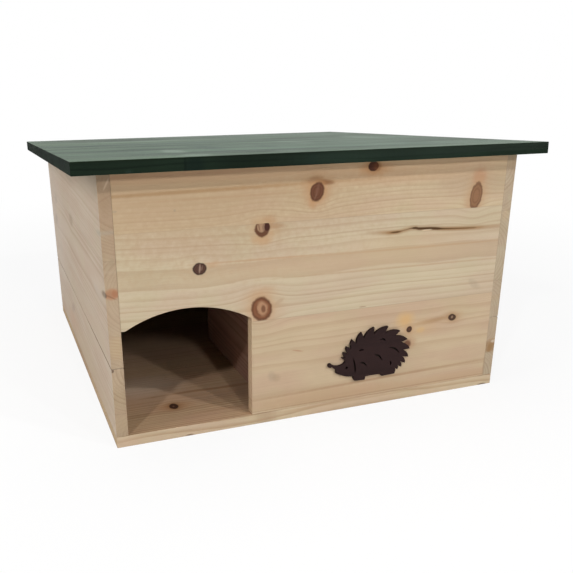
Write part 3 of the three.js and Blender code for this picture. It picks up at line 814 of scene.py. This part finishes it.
left_swirls = [Swirl(232, 187, 12, 6, 0.6), Swirl(400, 184, 13, 5, 0.5), Swirl(420, 153, 13, 6, 0.5)]
materials = {
    "front_panel": wood(
        "front_pine", FRONT_BOARD, front_staves, front_spots, PINE, 1.0, front_swirls,
        # face spots: painted shade behind the figure's slits
        extra=front_extra, face_spots=figure_slit_shade,
    ),
    "back_panel": wood(
        "back_pine", BACK_BOARD, [(95, 30, 50), (190, 150, 40), (300, 300, 45)],
        back_spots, PINE, 21.0,
    ),
    "lower_left_board": wood(
        "left_lower_pine", LEFT_BOARD, [(37, 10, 30), (300, 84, 26)],
        lower(left_spots), SIDE, 31.0, end_spots=lower(left_end_spots),
    ),
    "upper_left_board": wood(
        "left_upper_pine", LEFT_BOARD, [(119, 66, -8), (192, 160, 35), (300, 262, 28)],
        upper(left_spots), SIDE, 41.0, left_swirls, end_spots=upper(left_end_spots),
    ),
    "lower_right_board": wood(
        "right_lower_pine", RIGHT_BOARD, [(50, 10, 30), (300, 75, 30)],
        lower(right_spots), RIGHT_SIDE, 51.0, end_spots=lower(right_end_spots),
    ),
    "upper_right_board": wood(
        "right_upper_pine", RIGHT_BOARD, [(130, 90, 30), (210, 160, 35), (300, 262, 28)],
        upper(right_spots), RIGHT_SIDE, 61.0, end_spots=upper(right_end_spots),
    ),
    "floor_panel": wood(
        "floor_pine", FLOOR_BOARD, [(150, 80, 40), (300, 210, 38), (500, 390, 42)],
        floor_spots, FLOOR, 71.0, edge_spots=floor_edge_spots,
    ),
    "dividing_wall": wood(
        # the divider's tone is darkened as painted shade inside the house
        "divider_pine", DIVIDER_BOARD, [(130, 60, 40), (300, 210, 38)], divider_spots, INNER_SHADED, 81.0,
    ),
}


def stained(
    name, board, staves, base, late, roughness, specular, seed, edge=None, spots=(), uneven=0.0,
    edge_spots=(), above=0.0,
):
    """Stained wood, with spots only above a number of millimetres through it. Its edges may stay matt and be
    darkened as painted shade: edge is their share of the colour."""
    material = bpy.data.materials.new(name)
    net = Net(material)
    pink, yellow = (tuple(share * v for v in base) for share in (1.15, 0.85))
    tone = Tone(base, late, pink, yellow, 0.7, (0.8, 0.8, 0.8), roughness, specular)
    look = wood_net(net, board, staves, swirls_of(spots), tone, seed)
    face = net.math("GREATER_THAN", look.through, above)
    colour = painted(net, look, look.colour, "along across", spots, face)
    rough, height = look.roughness, look.height
    if uneven:
        # an uneven wipe of stain, whose lighter colour where the specular rises is partly painted sheen
        x, y = (net.times(socket, 1 / size) for socket, size in zip((look.along, look.across), WIPE))
        wipe_and_sheen = net.swing(net.combine(x, y, seed), uneven, detail=3, roughness=0.65)
        colour = net.scale(colour, net.math("ADD", wipe_and_sheen, 1.0))
        specular = net.linear(wipe_and_sheen, specular, specular)
    if edge:
        edge_rough, edge_specular = 0.8, 0.06
        level = net.math("ABSOLUTE", net.vector("DOT_PRODUCT", net.normal(), tuple(board.through)))
        flat_face = net.ramp(level, 0.6, 0.9)
        # painted shade: the edges darkened to their share of the colour
        colour = net.scale(colour, net.ramp(flat_face, 0.0, 1.0, edge, 1.0, smooth=False))
        rough = net.math("MAXIMUM", rough, net.ramp(flat_face, 0.0, 1.0, edge_rough, 0.0, smooth=False))
        specular = net.ramp(flat_face, 0.0, 1.0, edge_specular, specular, smooth=False)
        colour = painted(net, look, colour, "along through", edge_spots, look.low_edge)
    surface(net, colour, rough, height, 0.15 * MM, specular)
    return material


ROOF_OVERHANG, WALL_TOP = 20 * MM, 271 * MM
ROOF_BOARD = Board((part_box("roof_panel")[0].x, FRONT - ROOF_OVERHANG, WALL_TOP), X, ROOF_BACK, ROOF_UP)
# Paler knots and places on the roof: partly painted sheen
roof_pale_and_sheen = (135, 185, 140)
roof_edge_spots = [
    Spot(108, 6, 8, 9, (4.5, 10, 7.5), 0.7, 0.5),
    Spot(99, 5, 1.3, 9, (3, 7, 5), 0.7, 0.5),
    Spot(49, 2, 3, 3, (14, 24, 18), 0.6, 0.5),
    Spot(222, 6, 5, 6, (6, 13, 10)),
    Spot(350, 7, 60, 5, (16, 27, 20), 0.4, 0.8),
    Spot(250, 7, 45, 5, (18, 31, 22), 0.5, 0.8),
]
roof_spots = [
    # paler and darker places, then paler knots in the stain; where paler they are partly painted sheen
    Spot(480, 160, 230, 300, (105, 146, 112), 0.65, 0.9),
    Spot(120, 150, 230, 130, (40, 82, 54), 0.5, 0.9),
    Spot(260, 480, 300, 60, (105, 150, 115), 0.6, 0.9),
    Spot(120, 300, 260, 30, (22, 50, 34), 0.6, 0.7),
    Spot(250, 60, 260, 22, (26, 55, 38), 0.45, 0.7),
    Spot(150, 395, 90, 22, roof_pale_and_sheen, 0.5, 0.8),
    Spot(165, 150, 13, 60, (20, 46, 31), 0.6),
    Spot(226, 127, 9, 34, (22, 50, 34), 0.5, 0.5),
    Spot(392, 105, 16, 34, (30, 62, 44), 0.4),
    Spot(114, 100, 11, 30, roof_pale_and_sheen, 0.75, 0.4),
    Spot(117, 26, 14, 17, roof_pale_and_sheen, 0.7, 0.4),
    Spot(211, 31, 16, 16, roof_pale_and_sheen, 0.5, 0.5),
    Spot(290, 208, 16, 40, roof_pale_and_sheen, 0.45, 0.5),
    Spot(421, 275, 16, 46, roof_pale_and_sheen, 0.6, 0.5),
]
roof_staves = [(110, 60, 60), (230, 180, 50), (350, 300, 55), (460, 400, 50), (700, 520, 60)]
# Only the upper half of the roof's thickness has the spots, so that its underside is plain
ROOF_MIDDLE = 6.0
materials["roof_panel"] = stained(
    "roof_green", ROOF_BOARD, roof_staves, base=(0.058, 0.11, 0.064), late=(0.018, 0.042, 0.024),
    # edge: the share of colour left on the roof's edges, painted shade
    roughness=0.5, specular=0.17, seed=91.0, edge=0.135, spots=roof_spots, uneven=0.75,
    edge_spots=roof_edge_spots, above=ROOF_MIDDLE,
)
materials["hedgehog_figure"] = stained(
    "figure_brown", FRONT_BOARD, [(300, 60, 50)], base=(0.02, 0.0095, 0.009),
    late=(0.012, 0.006, 0.006), roughness=0.65, specular=0.1, seed=95.0,
)


def metal(name, base, rough):
    """Plated steel with a faint spangle and fine drawn lines."""
    spangle_scale, line_scale = (1500, 1500, 1500), (9000, 2200, 9000)
    material = bpy.data.materials.new(name)
    net = Net(material)
    spangle = net.noise(net.vector("MULTIPLY", net.place(), spangle_scale), detail=2)
    fine = net.noise(net.vector("MULTIPLY", net.place(), line_scale), detail=2)
    colour = net.mix(net.ramp(spangle, 0.35, 0.65), base, tuple(0.72 * v for v in base))
    roughness = net.ramp(fine, 0.3, 0.7, rough - 0.08, rough + 0.1, smooth=False)
    surface(net, colour, roughness, fine, 0.01 * MM, metallic=1.0)
    return material


materials["zinc"] = metal("zinc_plate", (0.62, 0.63, 0.64), 0.36)
materials["yellow"] = metal("yellow_zinc", (0.62, 0.5, 0.24), 0.33)


# Pieces

def linked(name, data):
    """A new object in the scene."""
    piece = bpy.data.objects.new(name, data)
    bpy.context.collection.objects.link(piece)
    return piece


WALL_ARRIS, PANEL_ARRIS, ROOF_ARRIS = 0.7 * MM, 0.4 * MM, 1.0 * MM
# Growth moves the corners beyond this, the left and right sides of a panel
PANEL_SIDE, PANEL_GROWTH = 212 * MM, 0.2 * MM
# Corners closer than this are merged, and only edges longer and sharper than these are rounded
MERGED, SHORTEST_EDGE, SHARP_ANGLE = 0.002 * MM, 3 * MM, math.radians(30)


def board_copy(node, arris=WALL_ARRIS, body="house", growth=0.0):
    """A board with rounded arrises in place of the CAD node. Growth narrows the seams at its two sides."""
    name = node.replace("_board", "") + "_wood"
    mesh = bpy.data.meshes.new(name)
    solid = bmesh.new()
    solid.from_mesh(nodes[node].data)
    bmesh.ops.remove_doubles(solid, verts=solid.verts, dist=MERGED)
    bmesh.ops.dissolve_limit(solid, angle_limit=math.radians(1), verts=solid.verts, edges=solid.edges)
    for vertex in solid.verts:
        if abs(vertex.co.x) > PANEL_SIDE:
            vertex.co.x += math.copysign(growth, vertex.co.x)
    long_edges = [edge for edge in solid.edges if edge.calc_length() > SHORTEST_EDGE]
    sharp = [edge for edge in long_edges if edge.calc_face_angle(0) > SHARP_ANGLE]
    bmesh.ops.bevel(
        solid, geom=sharp, offset=arris, segments=2, profile=0.5, affect="EDGES", clamp_overlap=True,
    )
    for face in solid.faces:
        face.smooth = True
    solid.to_mesh(mesh)
    solid.free()
    mesh.materials.append(materials[node])
    piece = linked(name, mesh)
    modifier = piece.modifiers.new("even shading", "WEIGHTED_NORMAL")
    modifier.keep_sharp = True
    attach(piece, body)
    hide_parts(node)


board_copy("front_panel", PANEL_ARRIS, growth=PANEL_GROWTH)
board_copy("back_panel", PANEL_ARRIS, growth=PANEL_GROWTH)
for name in ("lower_left_board", "upper_left_board", "lower_right_board", "upper_right_board"):
    board_copy(name)
board_copy("floor_panel")
board_copy("dividing_wall")
board_copy("roof_panel", ROOF_ARRIS, "roof")


FIGURE_EDGE, LEAF_EDGE = 0.3 * MM, 0.12 * MM


def dress(node, material, width=None):
    """A CAD node that is shown as it is, with its own material and maybe broken edges."""
    piece = nodes[node]
    piece.data.materials.clear()
    piece.data.materials.append(materials[material])
    if width:
        bevel = piece.modifiers.new("edges", "BEVEL")
        bevel.width, bevel.segments = width, 2
        bevel.limit_method, bevel.angle_limit = "ANGLE", math.radians(40)


dress("hedgehog_figure", "hedgehog_figure", FIGURE_EDGE)
for name in nodes:
    if name.startswith("hinge_"):
        dress(name, "zinc", LEAF_EDGE)
    elif name.startswith("brad_"):
        dress(name, "zinc")


ROUND_STEPS = 24
THREAD_ROWS = 60


def ringed(name, rows, radius):
    """A closed solid along -Z from rows of depths, with a radius for each depth and share of a turn."""
    points = []
    for depth in rows:
        for i in range(ROUND_STEPS):
            r, a = radius(depth, i / ROUND_STEPS), i / ROUND_STEPS * math.tau
            points.append((r * math.cos(a), r * math.sin(a), -depth))
    last = len(points) - ROUND_STEPS
    faces = [tuple(range(ROUND_STEPS)), tuple(reversed(range(last, len(points))))]
    for row in range(len(rows) - 1):
        for i in range(ROUND_STEPS):
            a, b = row * ROUND_STEPS + i, row * ROUND_STEPS + (i + 1) % ROUND_STEPS
            faces.append((a, a + ROUND_STEPS, b + ROUND_STEPS, b))
    mesh = bpy.data.meshes.new(name)
    mesh.from_pydata(points, [], faces)
    return mesh


def cross_recess(name, head):
    """The hollow for a driver: two bars that cross, wide at the top and narrow at the bottom."""
    top, bottom = (0.52 * head, -0.1 * head), (0.2 * head, 0.6 * head)
    arms = bmesh.new()
    for turn in (0, 90):
        arm = bmesh.ops.create_cube(arms, size=1)["verts"]
        for vertex in arm:
            x, y, z = vertex.co
            half_length, depth = top if z > 0 else bottom
            vertex.co = Vector((math.copysign(half_length, x), math.copysign(0.12 * head, y), -depth))
        bmesh.ops.rotate(arms, verts=arm, matrix=Matrix.Rotation(math.radians(turn), 3, "Z"))
    mesh = bpy.data.meshes.new(name)
    arms.to_mesh(mesh)
    arms.free()
    return mesh


def screw_mesh(name, head, shank, length):
    """A countersunk cross-head screw along Z with its head's face at zero and a helical thread."""
    rim = 0.12 * head
    neck, pitch, point_length = rim + head - shank, 1.15 * shank, 1.6 * shank

    def head_radius(depth, turn):
        return head - max(0.0, depth - rim)

    def thread_radius(depth, turn):
        wave = abs((depth / pitch - turn) % 1.0 - 0.5) * 2
        point = min(1.0, (length - depth) / point_length + 0.04)
        return shank * point * (0.72 + 0.28 * max(0.0, 1 - 2 * wave))

    piece = linked(name, ringed(name + "_head", [0.0, rim, neck], head_radius))
    tool = linked(name + "_recess", cross_recess(name + "_recess", head))
    cut = piece.modifiers.new("recess", "BOOLEAN")
    cut.operation, cut.object, cut.solver, cut.use_self = "DIFFERENCE", tool, "EXACT", True
    done = bpy.data.meshes.new_from_object(piece.evaluated_get(bpy.context.evaluated_depsgraph_get()))
    for thing in (piece, tool):
        bpy.data.objects.remove(thing)
    start = neck * 0.98
    rows = [start + (length - start) * i / THREAD_ROWS for i in range(THREAD_ROWS + 1)]
    whole = bmesh.new()
    whole.from_mesh(done)
    whole.from_mesh(ringed(name + "_thread", rows, thread_radius))
    whole.to_mesh(done)
    whole.free()
    return done


def screw_place(node):
    """Where a CAD screw's head is, which way it faces, and its head radius, shank radius and length."""
    points = np.array([tuple(vertex.co) for vertex in nodes[node].data.vertices])
    middle = points.mean(0)
    axis = np.linalg.svd(points - middle)[2][0]
    along = (points - middle) @ axis
    radius = np.linalg.norm(points - middle - np.outer(along, axis), axis=1)
    if along[np.argmax(radius)] < 0:
        axis, along = -axis, -along
    shank = radius[radius < 0.8 * radius.max()].max()
    return Vector(middle + axis * along.max()), Vector(axis), radius.max(), shank, along.max() - along.min()


screw_meshes = {}


def screw_copy(node, turn):
    """A turned cross-head screw in place of the CAD node. The screws of one kind share a shape."""
    top, axis, head, shank, length = screw_place(node)
    kind = node[:node.index("screw_") + len("screw")]
    if kind not in screw_meshes:
        screw_meshes[kind] = screw_mesh(kind, head, shank, length)
    mesh = screw_meshes[kind].copy()
    facing = Matrix.Translation(top) @ axis.to_track_quat("Z", "Y").to_matrix().to_4x4()
    mesh.transform(facing @ Matrix.Rotation(turn, 4, "Z"))
    mesh.materials.clear()
    mesh.materials.append(materials["yellow" if kind == "floor_screw" else "zinc"])
    piece = linked(node + "_cross_head", mesh)
    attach(piece, "roof" if kind == "roof_screw" else "house")
    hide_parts(node)


# Radians of turn for each place in the list of nodes
SCREW_TURN = 0.7
for place, name in enumerate(nodes):
    if "screw_" in name:
        screw_copy(name, SCREW_TURN * place)


# Stage, light and camera

def stage_floor():
    """White ground that takes shadows and fades to the white of the world."""
    half, near, far = 8.0, 0.4, 1.3
    corners = [(-half, -half, 0), (half, -half, 0), (half, half, 0), (-half, half, 0)]
    mesh = bpy.data.meshes.new("ground")
    mesh.from_pydata(corners, [], [(0, 1, 2, 3)])
    ground = linked("ground", mesh)
    material = bpy.data.materials.new("ground")
    net = Net(material)
    diffuse, glow = net.add("ShaderNodeBsdfDiffuse", (0.9, 0.9, 0.9)), net.add("ShaderNodeEmission")
    seen = net.add("ShaderNodeLightPath").outputs["Is Camera Ray"]
    white = net.ramp(net.vector("LENGTH", net.place()), near, far, 0.85, 1.0)
    shaders = diffuse.outputs[0], glow.outputs[0]
    mixed = net.add("ShaderNodeMixShader", net.times(seen, white), *shaders)
    net.add("ShaderNodeOutputMaterial", mixed.outputs[0])
    mesh.materials.append(material)


def world_light(ambient):
    """A world that is white where it is seen, and lights the scene with a lower strength."""
    world = bpy.data.worlds.new("studio")
    bpy.context.scene.world = world
    net = Net(world)
    rays = net.add("ShaderNodeLightPath").outputs
    mirrored = net.math("MAXIMUM", rays["Is Glossy Ray"], rays["Is Transmission Ray"])
    seen = net.math("MAXIMUM", rays["Is Camera Ray"], mirrored)
    strength = net.ramp(seen, 0.0, 1.0, ambient, 1.0, smooth=False)
    net.add("ShaderNodeOutputWorld", net.add("ShaderNodeBackground", (1, 1, 1), strength).outputs[0])


LIT_PLACE = Vector((-0.1, FRONT, 0.1))


def lamp(name, azimuth, elevation, distance, width, height, power):
    """A lamp seen from the lit place at an azimuth, counted from the front to the right."""
    data = bpy.data.lights.new(name, "AREA")
    data.shape, data.size, data.size_y, data.energy = "RECTANGLE", width, height, power
    piece = linked(name, data)
    a, e = math.radians(azimuth), math.radians(elevation)
    way = Vector((math.sin(a) * math.cos(e), -math.cos(a) * math.cos(e), math.sin(e)))
    piece.location = LIT_PLACE + distance * way
    piece.rotation_euler = way.to_track_quat("Z", "Y").to_euler()


def photo_camera():
    """The camera of the photo, from a fit to its corners."""
    place, heading, tilt, roll = (-0.3186, -0.902, 0.362), -21.252, 90 - 20.85, 0.157
    data = bpy.data.cameras.new("camera")
    data.sensor_width, data.lens = 36, 45.875
    data.shift_x, data.shift_y = 0.03209, 0.09466
    data.clip_start = 0.01
    data.dof.use_dof = False
    camera = linked("camera", data)
    camera.location = place
    aim = Matrix.Rotation(math.radians(heading), 4, "Z") @ Matrix.Rotation(math.radians(tilt), 4, "X")
    camera.rotation_euler = (aim @ Matrix.Rotation(math.radians(roll), 4, "Z")).to_euler()
    bpy.context.scene.camera = camera


stage_floor()
world_light(0.2)
lamp("lamp_left", -40, 38, distance=2.5, width=0.1, height=0.13, power=13)
lamp("lamp_right", 39, 39, distance=2.5, width=0.1, height=0.13, power=14.4)
lamp("lamp_low", 21, 25.5, distance=2.5, width=0.1, height=0.2, power=11.5)
lamp("lamp_centre", 0, 26, distance=2.5, width=0.1, height=0.2, power=9.5)
lamp("lamp_side", -86, 30, distance=3.0, width=1.6, height=1.6, power=37)
lamp("lamp_top", 180, 75, distance=3.0, width=2.0, height=2.0, power=25)
photo_camera()
bpy.context.scene.view_settings.view_transform = "Standard"
